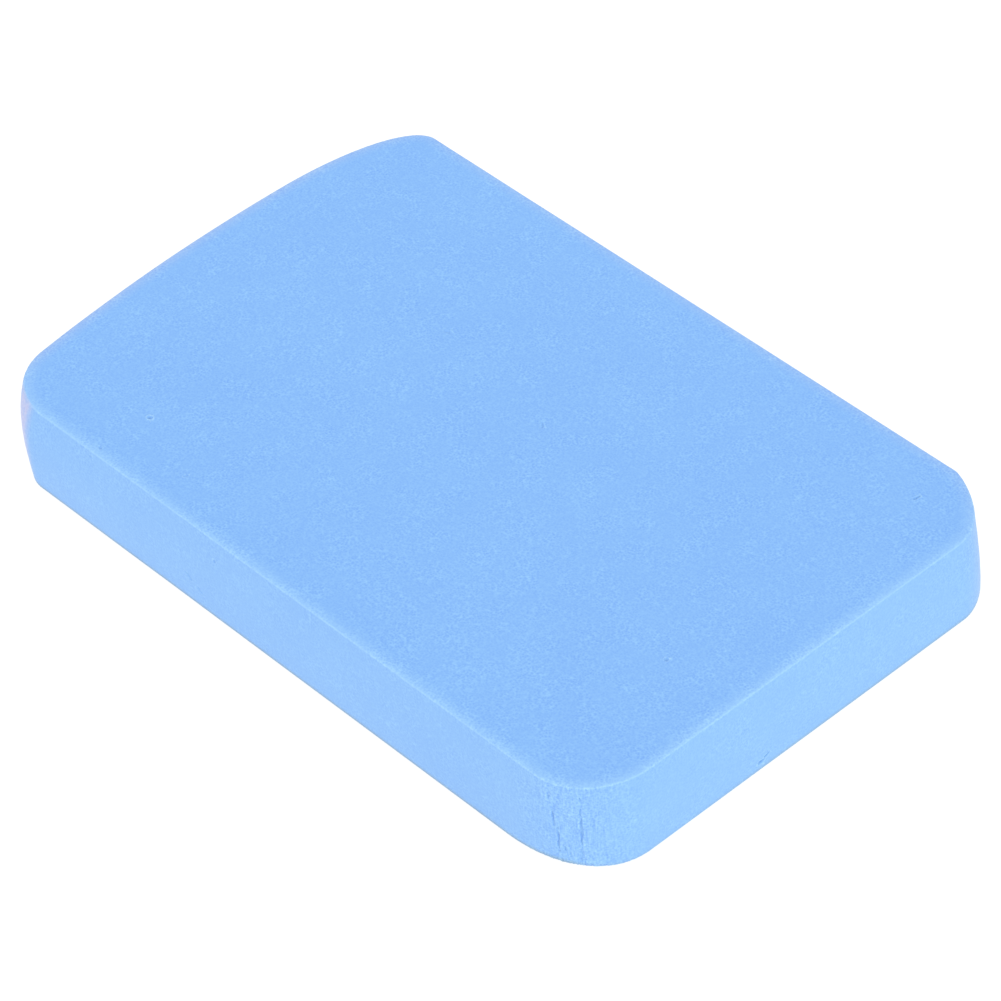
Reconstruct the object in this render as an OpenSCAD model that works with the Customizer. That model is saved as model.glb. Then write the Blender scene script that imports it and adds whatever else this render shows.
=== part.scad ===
// Kickboard float: one block of closed-cell foam, cut to outline from a thick sheet.
// The sides and the tail are straight, the nose is bowed, and all four corners are rounded.
// +X runs across the board, +Y towards the nose, +Z up. Origin: middle of the rest face.

/* [Board] */
// Length from the tail to the foremost point of the nose
board_length = 300; // [260:1:420]
// Width between the two long sides
board_width = 198; // [170:1:300]
// Thickness of the foam
board_thickness = 38; // [15:0.5:60]

/* [Outline] */
// How far the bow of the nose falls back over half the width
nose_bow = 8.5; // [3:0.5:20]
// How far the foremost point of the nose is to the right of the middle
nose_peak_x = 13; // [-20:1:20]
// Radius of the two nose corners
nose_corner_r = 24; // [12:0.5:40]
// Radius of the two tail corners
tail_corner_r = 28; // [12:0.5:40]

/* [Edges] */
// Softening of the edges round the top and bottom faces
edge_r = 1; // [0.5:0.1:3]

/* [Hidden] */
$fn = 96;

foam_blue = [0.56, 0.76, 0.99];
half_width = board_width / 2;
tail_y = -board_length / 2;

// How far a straight stretch of edge reaches inwards, past the centres of the corners
edge_depth = board_width / 4;

// How far a nose corner stands proud of the nose's arc, so that the two cross and don't only touch
corner_lift = 0.1;

// The bow of the nose is one arc, and this is its centre and radius.
nose_arc_r = (half_width * half_width + nose_bow * nose_bow) / (2 * nose_bow);
nose_arc = [nose_peak_x, board_length / 2 - nose_arc_r];

// Centre of a nose corner: tangent to the long side, and run into the nose's arc from inside.
// side is -1 on the left and 1 on the right.
function nose_corner(side) =
    let (x = side * (half_width - nose_corner_r))
    let (across = x - nose_arc[0])
    let (from_arc = nose_arc_r - nose_corner_r + corner_lift)
    [x, nose_arc[1] + sqrt(from_arc * from_arc - across * across)];

// Centre of a tail corner: tangent to the long side and to the tail.
function tail_corner(side) = [side * (half_width - tail_corner_r), tail_y + tail_corner_r];

// A point beyond the board on the line from the nose arc's centre through a nose corner's
// centre, where the corner runs into the arc.
function beyond_nose(corner) = corner + (corner - nose_arc) * 2 * nose_corner_r / nose_arc_r;

nose_left = nose_corner(-1);
nose_right = nose_corner(1);
tail_left = tail_corner(-1);
tail_right = tail_corner(1);

// Cross-section of the foam at an edge, from the outer face at x = 0 inwards.
module edge_section(depth) {
    translate([-depth, 0])
        square([depth - edge_r, board_thickness]);
    translate([-depth, edge_r])
        square([depth, board_thickness - 2 * edge_r]);
    for (z = [edge_r, board_thickness - edge_r])
        translate([-edge_r, z])
            circle(r = edge_r);
}

// A round of foam with soft edges.
module foam_round(centre, r) {
    translate(centre)
        rotate_extrude()
            translate([r, 0])
                edge_section(r);
}

// A straight stretch of edge from start to end, with the foam on its left.
module straight_edge(start, end) {
    run = end - start;
    translate(start)
        rotate([0, 0, atan2(run[1], run[0])])
            rotate([90, 0, 90])
                linear_extrude(norm(run))
                    mirror([1, 0])
                        edge_section(edge_depth);
}

// The bow of the nose, from one nose corner to the other.
module nose() {
    intersection() {
        foam_round(nose_arc, nose_arc_r, $fn = 720);
        linear_extrude(board_thickness)
            polygon([nose_left, nose_right, beyond_nose(nose_right), beyond_nose(nose_left)]);
    }
}

// The foam inside the ring of edges.
module core() {
    linear_extrude(board_thickness)
        polygon([tail_left, tail_right, nose_right, nose_left]);
}

// The whole board, which is one piece.
module foam_board() {
    color(foam_blue)
        union() {
            core();
            nose();
            for (corner = [nose_left, nose_right])
                foam_round(corner, nose_corner_r);
            for (corner = [tail_left, tail_right])
                foam_round(corner, tail_corner_r);
            straight_edge([tail_left[0], tail_y], [tail_right[0], tail_y]);
            straight_edge([half_width, tail_right[1]], [half_width, nose_right[1]]);
            straight_edge([-half_width, nose_left[1]], [-half_width, tail_left[1]]);
        }
}

foam_board();
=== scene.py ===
"""Kickboard float: one block of pale blue closed-cell foam, lying on a white floor in soft light.

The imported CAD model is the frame. The foam board is one closed mesh built round its size, with
the slightly uneven walls that a knife leaves, soft edges, drag marks at the corners and small
pits. Lengths here are millimetres unless a name ends in _m, and the mesh turns to metres once.
"""

import math

import bmesh
import bpy
import numpy as np
from mathutils import Matrix, Vector, noise
from mathutils.bvhtree import BVHTree


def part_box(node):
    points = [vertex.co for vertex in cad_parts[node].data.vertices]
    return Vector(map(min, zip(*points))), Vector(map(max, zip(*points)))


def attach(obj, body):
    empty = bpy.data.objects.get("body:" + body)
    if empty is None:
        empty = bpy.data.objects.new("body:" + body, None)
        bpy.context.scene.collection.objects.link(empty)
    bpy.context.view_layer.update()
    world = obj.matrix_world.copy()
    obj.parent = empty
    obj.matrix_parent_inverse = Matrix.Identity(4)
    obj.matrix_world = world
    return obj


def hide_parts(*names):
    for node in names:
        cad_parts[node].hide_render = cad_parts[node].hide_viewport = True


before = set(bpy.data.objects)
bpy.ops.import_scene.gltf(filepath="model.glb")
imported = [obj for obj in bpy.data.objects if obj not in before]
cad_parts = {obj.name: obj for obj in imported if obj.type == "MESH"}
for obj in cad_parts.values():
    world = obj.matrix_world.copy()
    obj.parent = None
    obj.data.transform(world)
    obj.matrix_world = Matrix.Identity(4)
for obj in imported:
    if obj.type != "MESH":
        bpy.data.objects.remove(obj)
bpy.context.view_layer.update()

MM_PER_M = 1000.0

# ---------------------------------------------------------------------------------------------
# The board's size, from the CAD
# ---------------------------------------------------------------------------------------------
cad_low, cad_high = (corner * MM_PER_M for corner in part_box("foam_board"))
HALF_WIDTH = (cad_high.x - cad_low.x) / 2
TAIL_Y = cad_low.y
NOSE_Y = cad_high.y
THICKNESS = cad_high.z - cad_low.z

# ---------------------------------------------------------------------------------------------
# The outline
# ---------------------------------------------------------------------------------------------
# The knife leaned a little, so the top face and the underside have outlines of their own.
# bow: how far the nose falls back over half the width. peak: how far its foremost point is to
# the right. Each corner: its setback along the side and along the end, and how full its curve is
# at the side and at the end.
TOP_CUT = {
    "bow": 7.0,
    "peak": 27.5,
    "tail_left": (24.0, 29.2, 0.54, 0.61),
    "tail_right": (25.2, 26.4, 0.10, 0.64),
    "nose_right": (17.6, 56.2, 0.56, 0.60),
    "nose_left": (21.5, 21.2, 0.575, 0.57),
}
UNDER_CUT = {
    "bow": 8.5,
    "peak": 28.8,
    "tail_left": (37.8, 27.1, 0.62, 0.60),
    "tail_right": (18.2, 22.2, 0.44, 0.43),
    "nose_right": (27.4, 56.2, 0.59, 0.59),
    "nose_left": (14.5, 26.2, 0.59, 0.59),
}
# How far each outline stands outside its cut line, and its shift in x and y. The soft edges take
# off about as much again.
TOP_SPREAD = (0.30, (0.22, 0.08))
UNDER_SPREAD = (0.60, (0.57, 0.10))
# A corner's curve is measured in this many steps, to set its stations evenly along it.
CURVE_STEPS = 400

# How far the walls stand out half-way down, all round the board
WALL_BULGE = 1.2
# Where they stand out more or less than that: x, y, reach, extra bulge, and its lift to the top
LOCAL_BULGES = (
    (-99, 126, 36, 1.2, 0.75),
    (99, -126, 36, -0.6, 0.5),
)

# ---------------------------------------------------------------------------------------------
# The mesh
# ---------------------------------------------------------------------------------------------
# Stations along each stretch of the outline: finest at the tail-left corner, for its drag marks
STRETCHES = ("tail_left", "tail", "tail_right", "right", "nose_right", "nose", "nose_left", "left")
WALL_STATIONS = (240, 90, 56, 150, 72, 70, 56, 150)
# The same on the border of the flat faces. Opposite stretches match, so that a grid fills them.
FACE_STATIONS = (18, 62, 18, 108, 18, 62, 18, 108)
WALL_ROWS = 30
# An edge is a tight round, and from there the face levels out slowly: the round's radius, the
# slope where it ends in degrees, and the length over which that slope dies away
TOP_EDGE = (0.65, 6.0, 1.1)
UNDER_EDGE = (0.8, 5.0, 0.8)
# How many steps the round is drawn in, and the steps inwards on the levelling face
ROUND_STEPS = 6
LEVEL_STEPS = (0.3, 0.35, 0.45, 0.55, 0.65, 0.8, 1.0)
# How far in from the walls the face's own grid starts
FACE_INSET = 5.6
# An edge's round counts as cut foam once it has turned this many degrees from the face's slope.
CUT_TURN = 30
# A pale highlight is painted along the top edges. On the face it starts at a share of the edge's
# own, and fades to nothing over a length.
HIGHLIGHT_SHARE = 0.68
HIGHLIGHT_LENGTH = 6.0
# How strong the painted highlight on the edge is round the board, and how strong the painted
# grazing reflection, which is greyer. The first number of each pair is a place: the stretch's
# number and how far along it.
HIGHLIGHT_AT = ((0, 1.0), (2, 1.0), (3, 0.15), (6, 0.15), (6.35, 0.8), (7, 1.0), (8, 1.0))
SHEEN_RIM_AT = (
    (0, 0.0), (2, 0.0), (3, 0.35), (4, 0.35),
    (5, 0.55), (6, 0.55), (6.4, 0.15), (7, 0.0),
)
# The nose-left corner has a painted grazing reflection all the way down: how strong, by the way the
# wall faces in degrees and by height
SHEEN_RIM_FACING = (
    (112, 0.0), (126, 0.2), (136, 0.8), (141, 1.0),
    (154, 1.0), (160, 0.5), (165, 0.22), (170, 0.0),
)
SHEEN_RIM_HEIGHT = ((1, 0.0), (7, 0.45), (14, 1.0), (36, 1.0), (38, 0.6))
# A painted contact shadow runs round the wall at the lower edge: how far it rises above the edge's
# round, how dark it still is there, and how dark it is at each place round the board
CONTACT_SHADOW_RISE = 0.5
CONTACT_SHADOW_SHARE = 0.7
CONTACT_SHADOW_AT = (
    (0, 1.0), (0.45, 1.0), (0.6, 0.3), (1.1, 0.3), (1.4, 0.7),
    (2, 0.7), (3, 0.3), (6, 0.3), (7, 1.0),
)

# ---------------------------------------------------------------------------------------------
# The marks of cutting and use
# ---------------------------------------------------------------------------------------------
# Drag marks run up the wall where the knife turned a corner: x, y, reach, depth
DRAG_MARKS = (
    (-93, -138, 17, 0.27),
    (93, -141, 14, 0.10),
    (84, 141, 18, 0.10),
    (-93, 139, 13, 0.10),
)
# Width and length of fine and coarse drag marks, and how deep the coarse are next to the fine
FINE_DRAG = (0.5, 5.0)
COARSE_DRAG = (1.4, 12.0)
COARSE_DEPTH = 0.5
# The walls and the top face are never quite flat: height and length of their waves
WALL_WAVE = (0.05, 32.0)
FACE_WAVE = (0.08, 70.0)

# Dents in the surface: from, to, radius, depth. A pit starts and ends at one point.
FACE_DENTS = (
    ((-74.1, 88.8, 38), (-74.0, 88.6, 38), 0.75, 0.7),
    ((-84.7, 57.7, 38), (-84.5, 57.7, 38), 0.6, 0.35),
    ((-96.0, 89.0, 38), (-95.9, 89.4, 38), 0.5, 0.35),
    ((-86.5, 114.1, 38), (-86.4, 114.1, 38), 0.5, 0.2),
    ((-74.2, 100.9, 38), (-74.1, 100.9, 38), 0.5, 0.2),
    ((28.0, 49.5, 38), (28.6, 48.2, 38), 0.7, 0.25),
    ((30.2, 48.6, 38), (30.6, 48.4, 38), 0.5, 0.2),
    ((-33.5, -119.5, 38), (-33.4, -119.4, 38), 0.65, 0.5),
    ((79.4, -124.6, 38), (81.7, -124.9, 38), 0.45, 0.45),
    ((17.4, -10.2, 38), (18.4, -9.2, 38), 0.55, 0.3),
    ((41.0, 31.0, 0), (41.8, 30.6, 0), 0.7, 0.5),
    ((-52.0, -71.0, 0), (-51.8, -71.0, 0), 0.8, 0.6),
)
WALL_DENTS = (
    ((-99, 89.9, 35.3), (-99, 90.4, 35.4), 0.5, 0.4),
    ((-99, 26.8, 28.8), (-99, 26.9, 29.2), 0.7, 0.4),
    ((-99, 42.5, 13.8), (-99, 40.0, 12.0), 0.6, 0.3),
    ((-99, 36.8, 10.2), (-99, 34.8, 8.7), 0.6, 0.3),
    ((-22.1, -150, 4.5), (-20.3, -150, 4.7), 0.8, 0.9),
    ((-19.4, -150, 6.0), (-18.2, -150, 6.8), 0.8, 0.8),
    ((-17.7, -150, 7.7), (-16.7, -150, 8.7), 0.5, 0.2),
    ((-30.9, -150, 24.7), (-28.6, -150, 24.9), 0.5, 0.2),
    ((99, -31, 24.0), (99, -29.4, 23.4), 0.7, 0.4),
    ((24, 149.6, 17.0), (25.8, 149.6, 16.2), 0.6, 0.35),
)
CORNER_DENTS = (
    ((-97.6, -131.4, 31.6), (-97.6, -131.4, 30.6), 0.55, 0.36),
    ((-96.6, -132.4, 24.5), (-96.3, -132.6, 18.4), 0.5, 0.38),
    ((-95.6, -133.8, 17.8), (-95.0, -133.4, 5.2), 0.45, 0.4),
    ((-92.9, -140.4, 33.6), (-92.3, -140.2, 22.6), 0.42, 0.30),
    ((-92.1, -140.1, 22.2), (-91.5, -140.0, 12.0), 0.55, 0.42),
    ((-91.7, -139.9, 11.0), (-91.5, -139.7, 3.0), 0.5, 0.32),
    ((-94.0, -135.1, 9.0), (-93.8, -135.1, 6.8), 0.5, 0.4),
    ((-93.1, -136.4, 6.4), (-93.0, -136.4, 4.0), 0.45, 0.35),
)
# Each group, and how many cuts are made in each edge of the mesh near its dents
DENT_GROUPS = ((FACE_DENTS, 9), (WALL_DENTS, 5), (CORNER_DENTS, 3))
# How far from a dent the mesh is made finer, and where the dent has no more effect, in radii
FINE_REACH = 2.2
DENT_REACH = 3
# Dents wander by this much, over this length. Where to is drawn from the seed.
WANDER = (0.45, 2.6)
WANDER_SEED = 1
# A dent's torn lip stands up by this share of its depth
LIP = 0.18
# A dent's width varies by this share, over a short length, and over a long one that counts more
RAGGED = 0.35
RAGGED_SHORT = 0.6
RAGGED_LONG = 2.2
RAGGED_LONG_WEIGHT = 1.5

# ---------------------------------------------------------------------------------------------
# Foam
# ---------------------------------------------------------------------------------------------
SKIN_BLUE = (0.236, 0.476, 0.894)
# Paler and greyer than the skin: partly the cut foam's own colour and partly painted sheen on the
# walls
CUT_BLUE_AND_SHEEN = (0.264, 0.500, 0.862)
# Painted highlight on the top edges and on the lips of tears
HIGHLIGHT_BLUE = (0.330, 0.590, 0.920)
# Painted reflection of the white surroundings where the foam is seen at grazing angles
SHEEN_RIM_GREY = (0.490, 0.550, 0.800)
# Painted contact shadow along the lower edge
CONTACT_SHADOW_BLUE = (0.258, 0.408, 0.570)
# Painted shade in dents and tears
TEAR_SHADE_BLUE = (0.205, 0.410, 0.740)

# Cells to the metre. They are about a millimetre across.
CELLS = 1150.0
# Noise of several sizes: how many to the metre, and how much finer detail is in it
PORES = (1500.0, 2.0)
BLOTCHES = (420.0, 2.0)
PATCHES = (110.0, 1.0)
CLOUDS = (40.0, 3.0)
HAIRS = (2300.0, 1.0)
# Noise stays near the middle of 0 to 1. Most of it lies in the first span and all in the second.
NOISE_SPAN = (0.35, 0.65)
WIDE_SPAN = (0.3, 0.7)

# The grain is cells, pores and blotches together: how much blotches count, what the sum is on
# average, and how light and dark it makes the foam
BLOTCH_SHARE = 0.5
GRAIN_MIDDLE = 1.2
GRAIN_SHADE = 0.26
# How much of the grain's light and dark each of red, green and blue takes
GRAIN_TINT = (1.3, 1.0, 0.2)
# How strong the grain is in the weakest and strongest patches, how much of it the cut wall keeps,
# and how much a millimetre of drag marks adds
GRAIN_IN_PATCHES = (0.6, 1.3)
GRAIN_ON_CUT = 0.7
GRAIN_IN_DRAG = 2.2
CLOUD_SHADE = 0.015
# Hairs are drawn out upwards, and each millimetre of drag marks makes them this strong.
HAIR_STRETCH = (1.0, 1.0, 0.2)
HAIR_SHADE = 1.5
# Painted shade and highlight: a furrow of this depth is painted this much darker, and a ridge as
# much lighter.
FURROW_DEPTH = 0.15
FURROW_PAINTED_SHADE = 0.05

# How strong the painted grazing reflection is between blotches and in them
SHEEN_RIM_IN_BLOTCHES = (0.8, 1.1)
# Painted shade darkens a tear between these depths, less between pores than in them.
TEAR_DEPTHS = (0.05, 0.4)
TEAR_IN_PORES = (0.3, 1.0)
# A painted highlight lightens a tear's lip between these heights, which count as depths below 0.
LIP_DEPTHS = (-0.02, -0.07)
LIP_HIGHLIGHT = 0.8

# The relief of cells and pores that are too small for the mesh: how much pores count next to
# cells, how strong it is, and its depth
PORE_RELIEF = 0.8
FOAM_BUMP = 0.3
FOAM_BUMP_DEPTH_m = 0.00015
# Roughness between pores and in them
FOAM_ROUGHNESS = (0.78, 0.92)
FOAM_SURFACE = {
    "IOR": 1.45,
    "Specular IOR Level": 0.3,
    "Sheen Weight": 0.3,
    "Sheen Roughness": 0.3,
    "Sheen Tint": (1.0, 0.90, 0.95, 1.0),
}

# ---------------------------------------------------------------------------------------------
# Stage, light and camera
# ---------------------------------------------------------------------------------------------
WHITE = (1.0, 1.0, 1.0, 1.0)
FLOOR_SIZE_m = 12.0
FLOOR_GAP_m = 0.00005
# The faint tooth of the floor's paper: how many to the metre and how much finer detail is in it
TOOTH = (900.0, 2.0)
FLOOR_BUMP = 0.05
FLOOR_BUMP_DEPTH_m = 0.0001
FLOOR_SURFACE = {
    "Base Color": (0.3, 0.3, 0.3, 1.0),
    "Roughness": 0.95,
    "Specular IOR Level": 0.1,
    "Emission Color": WHITE,
    "Emission Strength": 0.80,
}

AMBIENT = 0.95
# Each broad soft light: its name, bearing in degrees, strength and colour
KEYS = (
    ("key_left", -80, 0.25, (0.95, 0.65, 1.0)),
    ("key_front", -10, 0.55, (0.86, 1.0, 0.90)),
)
KEY_SOFTNESS = 60.0
KEY_ELEVATION = 35.0

CAMERA_AZIMUTH = -42.19
CAMERA_ELEVATION = 42.90
CAMERA_ROLL = -2.01
CAMERA_DISTANCE_m = 1.664
CAMERA_LENS = 173.35
CAMERA_SENSOR = 36.0
# The camera looks at a point a little to the right of the board's middle, and above the floor.
CAMERA_AIM_m = (0.0060, 0.0001, 0.0044)


# ---------------------------------------------------------------------------------------------
# Outline
# ---------------------------------------------------------------------------------------------
def end_line(cut, end, x):
    """Y and slope of the tail's or the nose's line at x."""
    if end == "tail":
        return TAIL_Y, 0.0
    across = (x - cut["peak"]) / HALF_WIDTH
    return NOSE_Y - cut["bow"] * across**2, -2 * cut["bow"] * across / HALF_WIDTH


def corner_controls(cut, name):
    """Control points of a corner's curve, from the long side to the end."""
    end, side_name = name.split("_")
    side = -1 if side_name == "left" else 1
    along_side, along_end, side_fullness, end_fullness = cut[name]
    x = side * (HALF_WIDTH - along_end)
    y, slope = end_line(cut, end, x)
    corner_y = y + slope * (side * HALF_WIDTH - x)
    inwards = 1 if end == "tail" else -1
    on_end = np.array((x, y))
    corner = np.array((side * HALF_WIDTH, corner_y))
    on_side = corner + (0, inwards * along_side)
    return [
        on_side,
        on_side + (corner - on_side) * side_fullness,
        on_end + (corner - on_end) * end_fullness,
        on_end,
    ]


def bezier(controls, t):
    """Points of a cubic curve at each t."""
    a, b, c, d = controls
    t = t[:, None]
    return (1 - t) ** 3 * a + 3 * (1 - t) ** 2 * t * b + 3 * (1 - t) * t**2 * c + t**3 * d


def evenly(controls, count):
    """Points at even steps along a cubic curve, without its last point."""
    fine = np.linspace(0, 1, CURVE_STEPS)
    steps = np.linalg.norm(np.diff(bezier(controls, fine), axis=0), axis=1)
    travelled = np.concatenate(([0.0], np.cumsum(steps)))
    wanted = travelled[-1] * np.arange(count) / count
    return bezier(controls, np.interp(wanted, travelled, fine))


def outline(cut, stations):
    """Points round the board, anticlockwise from where the left side meets the tail-left corner."""
    corner = {name: corner_controls(cut, name) for name in STRETCHES if name in cut}
    # Both ends of each stretch between two corners
    between = {
        "tail": (corner["tail_left"][-1], corner["tail_right"][-1]),
        "right": (corner["tail_right"][0], corner["nose_right"][0]),
        "nose": (corner["nose_right"][-1], corner["nose_left"][-1]),
        "left": (corner["nose_left"][0], corner["tail_left"][0]),
    }
    points = []
    for name, count in zip(STRETCHES, stations):
        if name in corner:
            leaves_side = name in ("tail_left", "nose_right")
            points.append(evenly(corner[name] if leaves_side else corner[name][::-1], count))
            continue
        start, stop = between[name]
        line = start + (stop - start) * (np.arange(count) / count)[:, None]
        if name == "nose":
            line[:, 1] = end_line(cut, "nose", line[:, 0])[0]
        points.append(line)
    return np.vstack(points)


def places(stations):
    """Where each station is round the board: the stretch's number and how far along it."""
    return np.concatenate([i + np.arange(n) / n for i, n in enumerate(stations)])


def outward(ring):
    """Outward directions of a closed anticlockwise ring of points."""
    along = np.roll(ring, -1, axis=0) - np.roll(ring, 1, axis=0)
    across = np.column_stack((along[:, 1], -along[:, 0]))
    return across / np.linalg.norm(across, axis=1, keepdims=True)


def spread(ring, distance, shift):
    """The ring moved outwards all round, and then shifted."""
    return ring + outward(ring) * distance + shift


def bulge(points, share):
    """How far the wall stands out at a share of the way down from the top face."""
    swell = 4 * share * (1 - share)
    total = np.full(len(points), WALL_BULGE * swell)
    for x, y, reach, height, lift in LOCAL_BULGES:
        distance_sq = (points[:, 0] - x) ** 2 + (points[:, 1] - y) ** 2
        near = np.exp(-distance_sq / (2 * reach**2))
        total += height * swell * (1 + lift * (1 - 2 * share)) * near
    return total


class Shell:
    """Rings of points round the board at any height and inset, for one set of stations."""

    def __init__(self, stations):
        self.top = spread(outline(TOP_CUT, stations), *TOP_SPREAD)
        self.under = spread(outline(UNDER_CUT, stations), *UNDER_SPREAD)
        self.out = outward((self.top + self.under) / 2)
        self.places = places(stations)

    def ring(self, inset, height):
        """Points at one height, moved in from the wall by inset."""
        share = 1 - height / THICKNESS
        flat = self.top * (1 - share) + self.under * share
        wall = flat + self.out * bulge(flat, share)[:, None]
        inner = wall - self.out * inset
        return np.column_stack((inner, np.full(len(inner), height)))


def edge_rings(radius, slope, length):
    """(inset, depth, cut, painted edge light) of each ring of an edge, from the wall in to the
    level face.

    cut is 0 on a face, which is the foam sheet's own skin, and 1 on the knife-cut wall.
    The painted edge light is 1 on the edge itself, where a pale highlight is painted.
    """
    last = math.radians(slope)
    rings = []
    for turn in np.linspace(math.pi / 2, last, ROUND_STEPS + 1):
        inset = radius * (1 - math.sin(turn))
        rise = radius * math.cos(turn)
        cut = min(1.0, max(0.0, (turn - last) / math.radians(CUT_TURN)))
        edge_light = math.sin(2 * turn)
        # On the face's side of the edge, the painted highlight is never less than where the face
        # starts.
        if turn < math.pi / 4:
            edge_light = max(edge_light, HIGHLIGHT_SHARE)
        rings.append((inset, rise, cut, edge_light))
    travelled = 0.0
    for step in LEVEL_STEPS:
        middle = last * math.exp(-(travelled + step / 2) / length)
        travelled += step
        inset += step * math.cos(middle)
        rise += step * math.sin(middle)
        rings.append((inset, rise, 0.0, HIGHLIGHT_SHARE * (1 - travelled / HIGHLIGHT_LENGTH) ** 2))
    return [(inset, rings[-1][1] - rise, cut, edge_light) for inset, rise, cut, edge_light in rings]


def wall_rings():
    """(inset, height, cut, painted edge light) of each ring from the underside, up the wall, to the
    top.

    The painted edge light is below 0 on the lower edge, where a contact shadow is painted and not a
    highlight.
    """
    under = [(i, depth, cut, -1.0) for i, depth, cut, _ in edge_rings(*UNDER_EDGE)][::-1]
    under.append((0.0, under[-1][1] + CONTACT_SHADOW_RISE, 1.0, -CONTACT_SHADOW_SHARE))
    top = [(i, THICKNESS - depth, cut, edge_light) for i, depth, cut, edge_light in edge_rings(*TOP_EDGE)]
    rise = np.linspace(under[-1][1], top[0][1], WALL_ROWS + 1)[1:-1]
    return under + [(0.0, z, 1.0, 0.0) for z in rise] + top


# ---------------------------------------------------------------------------------------------
# Mesh
# ---------------------------------------------------------------------------------------------
class MeshParts:
    """Vertices and faces as they're added, and marks: how cut each is, and how much painted
    highlight, painted contact shadow and painted grazing reflection it has.
    """

    def __init__(self):
        self.points = []
        self.faces = []
        self.marks = {}

    def add(self, points):
        """Adds points and returns their indices."""
        first = len(self.points)
        self.points.extend(map(tuple, points))
        return list(range(first, first + len(points)))

    def mark(self, indices, name, values):
        """Marks vertices with a value each. A vertex without one has 0."""
        self.marks.setdefault(name, {}).update(zip(indices, map(float, values)))

    def bridge(self, lower, upper):
        """Quads between two closed rings with equal counts. lower is outside or below."""
        count = len(lower)
        for i in range(count):
            j = (i + 1) % count
            self.faces.append((lower[i], lower[j], upper[j], upper[i]))

    def stitch(self, outer, outer_places, inner, inner_places, flip):
        """Triangles between two closed rings with different counts, walked side by side."""
        turn = len(STRETCHES)
        outer_at = list(outer_places) + [turn]
        inner_at = list(inner_places) + [turn]
        i = j = 0
        while i < len(outer) or j < len(inner):
            a, b = outer[i % len(outer)], inner[j % len(inner)]
            if j == len(inner) or (i < len(outer) and outer_at[i + 1] <= inner_at[j + 1]):
                i += 1
                face = (a, outer[i % len(outer)], b)
            else:
                j += 1
                face = (a, inner[j % len(inner)], b)
            self.faces.append(face[::-1] if flip else face)

    def fill(self, border, flip):
        """A grid of quads inside a closed border whose stations are FACE_STATIONS.

        Each of the grid's four sides starts and ends half-way round a corner, and each point
        inside is blended from the two points of the sides that it lies between, both ways.
        """
        half = FACE_STATIONS[0] // 2
        across = FACE_STATIONS[1] + 2 * half
        along = FACE_STATIONS[3] + 2 * half
        loop = border[half:] + border[: half + 1]
        tail = loop[: across + 1]
        right = loop[across : across + along + 1]
        nose = loop[across + along : 2 * across + along + 1][::-1]
        left = loop[2 * across + along :][::-1]
        at = np.array(self.points)
        p_tail, p_right, p_nose, p_left = (at[side] for side in (tail, right, nose, left))
        u = np.linspace(0, 1, across + 1)[:, None]
        grid = []
        for j in range(along + 1):
            v = j / along
            between_ends = (1 - v) * p_tail + v * p_nose
            between_sides = (1 - u) * p_left[j] + u * p_right[j]
            corners = (1 - v) * ((1 - u) * p_tail[0] + u * p_tail[-1])
            corners = corners + v * ((1 - u) * p_nose[0] + u * p_nose[-1])
            row = between_ends + between_sides - corners
            if j == 0:
                grid.append(tail)
            elif j == along:
                grid.append(nose)
            else:
                grid.append([left[j]] + self.add(row[1:-1]) + [right[j]])
        for lower, upper in zip(grid, grid[1:]):
            for i in range(across):
                face = (lower[i], lower[i + 1], upper[i + 1], upper[i])
                self.faces.append(face[::-1] if flip else face)


def board_parts():
    """The board's smooth shape: the wall's rings, and a grid on each flat face."""
    parts = MeshParts()
    wall = Shell(WALL_STATIONS)
    face = Shell(FACE_STATIONS)
    # Painted light round the edges: a pale highlight on the top edges, a contact shadow along the
    # lower edge, and a grazing reflection on the far edges and down the nose-left corner
    edge_highlight = np.interp(wall.places, *zip(*HIGHLIGHT_AT))
    sheen_rim_share = np.interp(wall.places, *zip(*SHEEN_RIM_AT))
    contact_shadow_strength = np.interp(wall.places, *zip(*CONTACT_SHADOW_AT))
    facing = np.degrees(np.arctan2(wall.out[:, 1], wall.out[:, 0]))
    corner_sheen_rim = np.interp(facing, *zip(*SHEEN_RIM_FACING), left=0.0, right=0.0)
    rings = []
    for inset, height, cut, edge_light in wall_rings():
        rings.append(parts.add(wall.ring(inset, height)))
        corner = corner_sheen_rim * np.interp(height, *zip(*SHEEN_RIM_HEIGHT)) * cut
        parts.mark(rings[-1], "cut", np.full(len(edge_highlight), cut))
        parts.mark(rings[-1], "edge_highlight", max(0.0, edge_light) * edge_highlight)
        parts.mark(rings[-1], "contact_shadow", max(0.0, -edge_light) * contact_shadow_strength)
        parts.mark(rings[-1], "sheen_rim", np.maximum(corner, max(0.0, edge_light) * sheen_rim_share))
    for lower, upper in zip(rings, rings[1:]):
        parts.bridge(lower, upper)
    for height, rim, flip in ((0.0, rings[0], True), (THICKNESS, rings[-1], False)):
        border = parts.add(face.ring(FACE_INSET, height))
        parts.stitch(rim, wall.places, border, face.places, flip)
        parts.fill(border, flip)
    return parts


def to_segment(point, start, stop):
    """Distance from a point to the segment from start to stop."""
    along = stop - start
    length_sq = along.length_squared
    share = (point - start).dot(along) / length_sq if length_sq else 0.0
    return (point - start - along * min(1.0, max(0.0, share))).length


def snapped(bm, dents):
    """The dents with both ends moved to the nearest points of the surface."""
    surface = BVHTree.FromBMesh(bm)
    placed = []
    for start, stop, radius, depth in dents:
        ends = [surface.find_nearest(Vector(end))[0] for end in (start, stop)]
        placed.append((*ends, radius, depth))
    return placed


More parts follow.
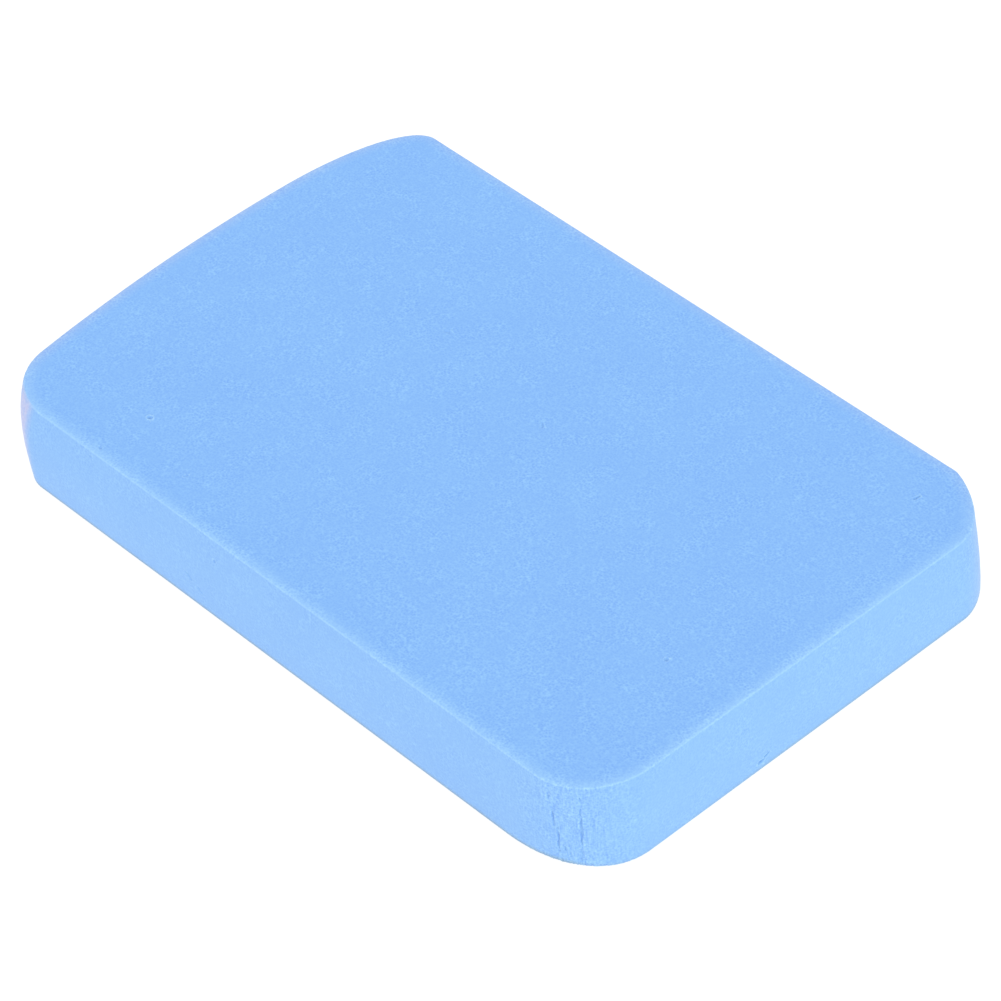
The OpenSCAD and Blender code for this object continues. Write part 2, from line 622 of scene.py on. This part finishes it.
def refine(bm, dents, cuts):
    """Makes the mesh finer round each dent."""
    chosen = set()
    for face in bm.faces:
        middle = face.calc_center_median()
        half_size = 0.5 * max(edge.calc_length() for edge in face.edges)
        for start, stop, radius, _ in dents:
            if to_segment(middle, start, stop) < FINE_REACH * radius + half_size:
                chosen.add(face)
                break
    # The edges are cut in a fixed order, so that the mesh comes out the same each run.
    bm.edges.index_update()
    edges = {edge for face in chosen for edge in face.edges}
    edges = sorted(edges, key=lambda edge: edge.index)
    bmesh.ops.subdivide_edges(bm, edges=edges, cuts=cuts, use_grid_fill=True)


def dent_depth(point, dents):
    """How far the surface is pushed in by the dents at a point, less their raised lips."""
    depth = 0.0
    wander, length = WANDER
    wandered = point + wander * noise.noise_vector(point / length)
    ragged = noise.noise(point / RAGGED_SHORT)
    ragged += RAGGED_LONG_WEIGHT * noise.noise(point / RAGGED_LONG)
    for start, stop, radius, deepest in dents:
        reach = to_segment(wandered, start, stop) / radius
        if reach > DENT_REACH:
            continue
        reach *= 1 + RAGGED * ragged
        if reach < 1:
            depth += deepest * (1 - reach**2) ** 2
        elif reach < 2:
            depth -= LIP * deepest * math.sin(math.pi * (reach - 1)) ** 2
    return depth


def drag_strength(point):
    """How deep the knife's drag marks may be at a point."""
    strength = 0.0
    for x, y, reach, depth in DRAG_MARKS:
        near_sq = ((point.x - x) ** 2 + (point.y - y) ** 2) / reach**2
        strength += depth * math.exp(-near_sq)
    return strength


def streaks(point, size):
    """Furrows and ridges that run up the wall, from about -0.5 to 0.5."""
    width, length = size
    return noise.noise((point.x / width, point.y / width, point.z / length))


def wear_surface(bm, layers, dents):
    """Pushes the surface in and out along its normals: waves, drag marks and dents.

    The torn layer keeps how deep the dents are, which is below 0 on their raised lips.
    """
    wall_height, wall_length = WALL_WAVE
    face_height, face_length = FACE_WAVE
    bm.normal_update()
    noise.seed_set(WANDER_SEED)
    moves = []
    for vertex in bm.verts:
        at = vertex.co
        cut = vertex[layers["cut"]]
        move = cut * wall_height * noise.noise(at / wall_length)
        if at.z > THICKNESS / 2:
            move += (1 - cut) * face_height * noise.noise(at / face_length)
        zone = cut * drag_strength(at)
        furrow = zone * (streaks(at, FINE_DRAG) + COARSE_DEPTH * streaks(at, COARSE_DRAG))
        dent = dent_depth(at, dents)
        vertex[layers["zone"]] = zone
        vertex[layers["furrow"]] = furrow
        vertex[layers["torn"]] = dent
        move -= furrow + dent
        moves.append(vertex.normal * move)
    for vertex, move in zip(bm.verts, moves):
        vertex.co += move
        vertex.co.z = max(0.0, vertex.co.z)


def make_board():
    """The foam board as one closed mesh object."""
    parts = board_parts()
    mesh = bpy.data.meshes.new("foam_block")
    mesh.from_pydata(parts.points, [], parts.faces)
    bm = bmesh.new()
    bm.from_mesh(mesh)
    names = (*parts.marks, "zone", "furrow", "torn")
    layers = {name: bm.verts.layers.float.new(name) for name in names}
    bm.verts.ensure_lookup_table()
    for name, values in parts.marks.items():
        for index, value in values.items():
            bm.verts[index][layers[name]] = value
    dents = []
    for group, cuts in DENT_GROUPS:
        placed = snapped(bm, group)
        refine(bm, placed, cuts)
        dents += placed
    wear_surface(bm, layers, dents)
    bmesh.ops.scale(bm, vec=(1 / MM_PER_M,) * 3, verts=bm.verts)
    bm.to_mesh(mesh)
    bm.free()
    mesh.shade_smooth()
    board = bpy.data.objects.new("foam_block", mesh)
    bpy.context.scene.collection.objects.link(board)
    return board


# ---------------------------------------------------------------------------------------------
# Materials
# ---------------------------------------------------------------------------------------------
class Nodes:
    """Adds and links the nodes of one material."""

    def __init__(self, name):
        self.material = bpy.data.materials.new(name)
        self.material.use_nodes = True
        self.tree = self.material.node_tree
        self.shader = self.tree.nodes["Principled BSDF"]

    def new(self, kind, inputs=None, **settings):
        made = self.tree.nodes.new("ShaderNode" + kind)
        for name, value in settings.items():
            setattr(made, name, value)
        for name, value in (inputs or {}).items():
            self.put(made.inputs[name], value)
        return made

    def put(self, socket, value):
        """Links an output into a socket, or sets the socket to a plain value."""
        if isinstance(value, bpy.types.NodeSocket):
            self.tree.links.new(value, socket)
        else:
            socket.default_value = value

    def mark(self, name):
        """What the mesh's vertices are marked with under this name."""
        return self.new("Attribute", attribute_name=name).outputs["Fac"]

    def noise(self, place, scale, detail):
        inputs = {"Vector": place, "Scale": scale, "Detail": detail}
        return self.new("TexNoise", inputs).outputs["Fac"]

    def calc(self, operation, a, b):
        return self.new("Math", {0: a, 1: b}, operation=operation).outputs[0]

    def vector(self, operation, inputs):
        return self.new("VectorMath", inputs, operation=operation).outputs["Vector"]

    def mix(self, share, a, b):
        made = self.new("Mix", data_type="RGBA")
        self.put(made.inputs[0], share)
        self.put(made.inputs[6], a)
        self.put(made.inputs[7], b)
        return made.outputs[2]

    def remap(self, value, low, high, to_low, to_high):
        made = self.new("MapRange", {"Value": value, "From Min": low, "From Max": high})
        self.put(made.inputs["To Min"], to_low)
        self.put(made.inputs["To Max"], to_high)
        return made.outputs[0]

    def bump(self, height, strength, depth):
        """Fine relief on the shader's own surface."""
        made = self.new("Bump", {"Height": height, "Strength": strength, "Distance": depth})
        self.put(self.shader.inputs["Normal"], made.outputs["Normal"])

    def surface(self, values):
        """Sets the shader's sockets that have one value everywhere."""
        for name, value in values.items():
            self.shader.inputs[name].default_value = value


def opaque(colour):
    return (*colour, 1.0)


def foam_grain(nodes, place, cells, pores, blotches):
    """How much lighter or darker the foam is than its colour: its grain, and painted shade and
    highlight on the drag furrows.
    """
    cut = nodes.mark("cut")
    zone = nodes.mark("zone")
    # The grain is stronger in some patches than in others, and weaker on the cut wall.
    strength = nodes.remap(nodes.noise(place, *PATCHES), *NOISE_SPAN, *GRAIN_IN_PATCHES)
    strength = nodes.calc("MULTIPLY", strength, nodes.remap(cut, 0.0, 1.0, 1.0, GRAIN_ON_CUT))
    strength = nodes.calc("ADD", strength, nodes.calc("MULTIPLY", zone, GRAIN_IN_DRAG))
    grain = nodes.calc("ADD", cells, pores)
    grain = nodes.calc("ADD", grain, nodes.calc("MULTIPLY", blotches, BLOTCH_SHARE))
    grain = nodes.calc("SUBTRACT", grain, GRAIN_MIDDLE)
    shade = nodes.calc("MULTIPLY", nodes.calc("MULTIPLY", grain, strength), GRAIN_SHADE)
    clouds = nodes.noise(place, *CLOUDS)
    shade = nodes.calc("ADD", shade, nodes.remap(clouds, *WIDE_SPAN, -CLOUD_SHADE, CLOUD_SHADE))
    # Where the knife dragged, the foam is streaked light and dark all the way up.
    hairs = nodes.noise(nodes.vector("MULTIPLY", {0: place, 1: HAIR_STRETCH}), *HAIRS)
    hairs = nodes.calc("MULTIPLY", nodes.calc("SUBTRACT", hairs, 0.5), zone)
    shade = nodes.calc("ADD", shade, nodes.calc("MULTIPLY", hairs, HAIR_SHADE))
    # Painted shade in the drag furrows and painted highlight on their ridges
    furrow = nodes.mark("furrow")
    furrow_shading = nodes.remap(furrow, -FURROW_DEPTH, FURROW_DEPTH, -FURROW_PAINTED_SHADE, FURROW_PAINTED_SHADE)
    return nodes.calc("SUBTRACT", shade, furrow_shading)


def foam_colour(nodes, pores, blotches):
    """The foam's colour before its grain, from the marks on the mesh, with painted highlight,
    reflection and shade in it.
    """
    # The cut wall's colour carries painted sheen as well as its own paler blue
    colour = nodes.mix(nodes.mark("cut"), opaque(SKIN_BLUE), opaque(CUT_BLUE_AND_SHEEN))
    # Painted highlight along the top edges
    colour = nodes.mix(nodes.mark("edge_highlight"), colour, opaque(HIGHLIGHT_BLUE))
    # Painted grazing reflection on the far top edges and down the nose-left corner
    uneven = nodes.remap(blotches, *NOISE_SPAN, *SHEEN_RIM_IN_BLOTCHES)
    sheen_rim_share = nodes.calc("MULTIPLY", nodes.mark("sheen_rim"), uneven)
    colour = nodes.mix(sheen_rim_share, colour, opaque(SHEEN_RIM_GREY))
    # Painted contact shadow along the lower edge
    colour = nodes.mix(nodes.mark("contact_shadow"), colour, opaque(CONTACT_SHADOW_BLUE))
    # Painted shade darkens a tear, more the deeper it is and more in pores, and a painted highlight
    # lightens its lips.
    torn = nodes.mark("torn")
    pore_share = nodes.remap(pores, *NOISE_SPAN, *TEAR_IN_PORES)
    tear_shade = nodes.calc("MULTIPLY", nodes.remap(torn, *TEAR_DEPTHS, 0.0, 1.0), pore_share)
    colour = nodes.mix(tear_shade, colour, opaque(TEAR_SHADE_BLUE))
    # Painted highlight on the raised lips of tears
    lip_highlight = nodes.remap(torn, *LIP_DEPTHS, 0.0, LIP_HIGHLIGHT)
    return nodes.mix(lip_highlight, colour, opaque(HIGHLIGHT_BLUE))


def foam_material():
    """Closed-cell foam: a fine-celled skin on the faces, and a cut wall whose paler, greyer blue is
    partly the cut foam's own and partly painted sheen.
    """
    nodes = Nodes("foam")
    place = nodes.new("TexCoord").outputs["Object"]
    cells = nodes.new("TexVoronoi", {"Vector": place, "Scale": CELLS}).outputs["Distance"]
    pores = nodes.noise(place, *PORES)
    blotches = nodes.noise(place, *BLOTCHES)

    colour = foam_colour(nodes, pores, blotches)
    shade = foam_grain(nodes, place, cells, pores, blotches)
    tint = nodes.vector("SCALE", {0: GRAIN_TINT, "Scale": shade})
    tinted = nodes.vector("MULTIPLY_ADD", {0: colour, 1: tint, 2: colour})
    nodes.put(nodes.shader.inputs["Base Color"], tinted)

    relief = nodes.calc("ADD", cells, nodes.calc("MULTIPLY", pores, PORE_RELIEF))
    nodes.bump(relief, FOAM_BUMP, FOAM_BUMP_DEPTH_m)
    rough = nodes.remap(pores, *WIDE_SPAN, *FOAM_ROUGHNESS)
    nodes.put(nodes.shader.inputs["Roughness"], rough)
    nodes.surface(FOAM_SURFACE)
    return nodes.material


def floor_material():
    """Matt white studio paper with the faintest tooth."""
    nodes = Nodes("studio_paper")
    place = nodes.new("TexCoord").outputs["Object"]
    nodes.bump(nodes.noise(place, *TOOTH), FLOOR_BUMP, FLOOR_BUMP_DEPTH_m)
    nodes.surface(FLOOR_SURFACE)
    return nodes.material


# ---------------------------------------------------------------------------------------------
# Stage, light and camera
# ---------------------------------------------------------------------------------------------
def direction(azimuth, elevation):
    """Unit vector from the board towards a point seen at that bearing. Azimuth 0 is towards -Y."""
    a, e = math.radians(azimuth), math.radians(elevation)
    return Vector((math.sin(a) * math.cos(e), -math.cos(a) * math.cos(e), math.sin(e)))


def make_floor():
    half = FLOOR_SIZE_m / 2
    corners = [(-half, -half), (half, -half), (half, half), (-half, half)]
    mesh = bpy.data.meshes.new("floor")
    mesh.from_pydata([(x, y, -FLOOR_GAP_m) for x, y in corners], [], [(0, 1, 2, 3)])
    mesh.materials.append(floor_material())
    floor = bpy.data.objects.new("floor", mesh)
    bpy.context.scene.collection.objects.link(floor)


def make_key(name, azimuth, strength, colour):
    """A broad soft light from one side, as wide as a studio scrim."""
    light = bpy.data.lights.new(name, "SUN")
    light.energy = strength
    light.color = colour
    light.angle = math.radians(KEY_SOFTNESS)
    lamp = bpy.data.objects.new(name, light)
    towards = direction(azimuth, KEY_ELEVATION)
    lamp.rotation_euler = towards.to_track_quat("Z", "Y").to_euler()
    lamp.location = towards
    bpy.context.scene.collection.objects.link(lamp)


def make_surroundings():
    """White walls all round, as a studio's light tent."""
    world = bpy.data.worlds.new("white_tent")
    world.use_nodes = True
    background = world.node_tree.nodes["Background"]
    background.inputs["Color"].default_value = WHITE
    background.inputs["Strength"].default_value = AMBIENT
    bpy.context.scene.world = world


def make_camera():
    place = direction(CAMERA_AZIMUTH, CAMERA_ELEVATION) * CAMERA_DISTANCE_m
    back = (place - Vector(CAMERA_AIM_m)).normalized()
    right = Vector((0, 0, 1)).cross(back).normalized()
    up = back.cross(right)
    upright = Matrix((right, up, back)).transposed()
    roll = Matrix.Rotation(math.radians(CAMERA_ROLL), 3, "Z")
    data = bpy.data.cameras.new("camera")
    data.lens = CAMERA_LENS
    data.sensor_width = CAMERA_SENSOR
    camera = bpy.data.objects.new("camera", data)
    camera.matrix_world = Matrix.Translation(place) @ (upright @ roll).to_4x4()
    bpy.context.scene.collection.objects.link(camera)
    bpy.context.scene.camera = camera


make_camera()
make_floor()
make_surroundings()
for key in KEYS:
    make_key(*key)
bpy.context.scene.view_settings.view_transform = "Standard"

board = make_board()
board.data.materials.append(foam_material())
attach(board, "root")
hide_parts("foam_board")
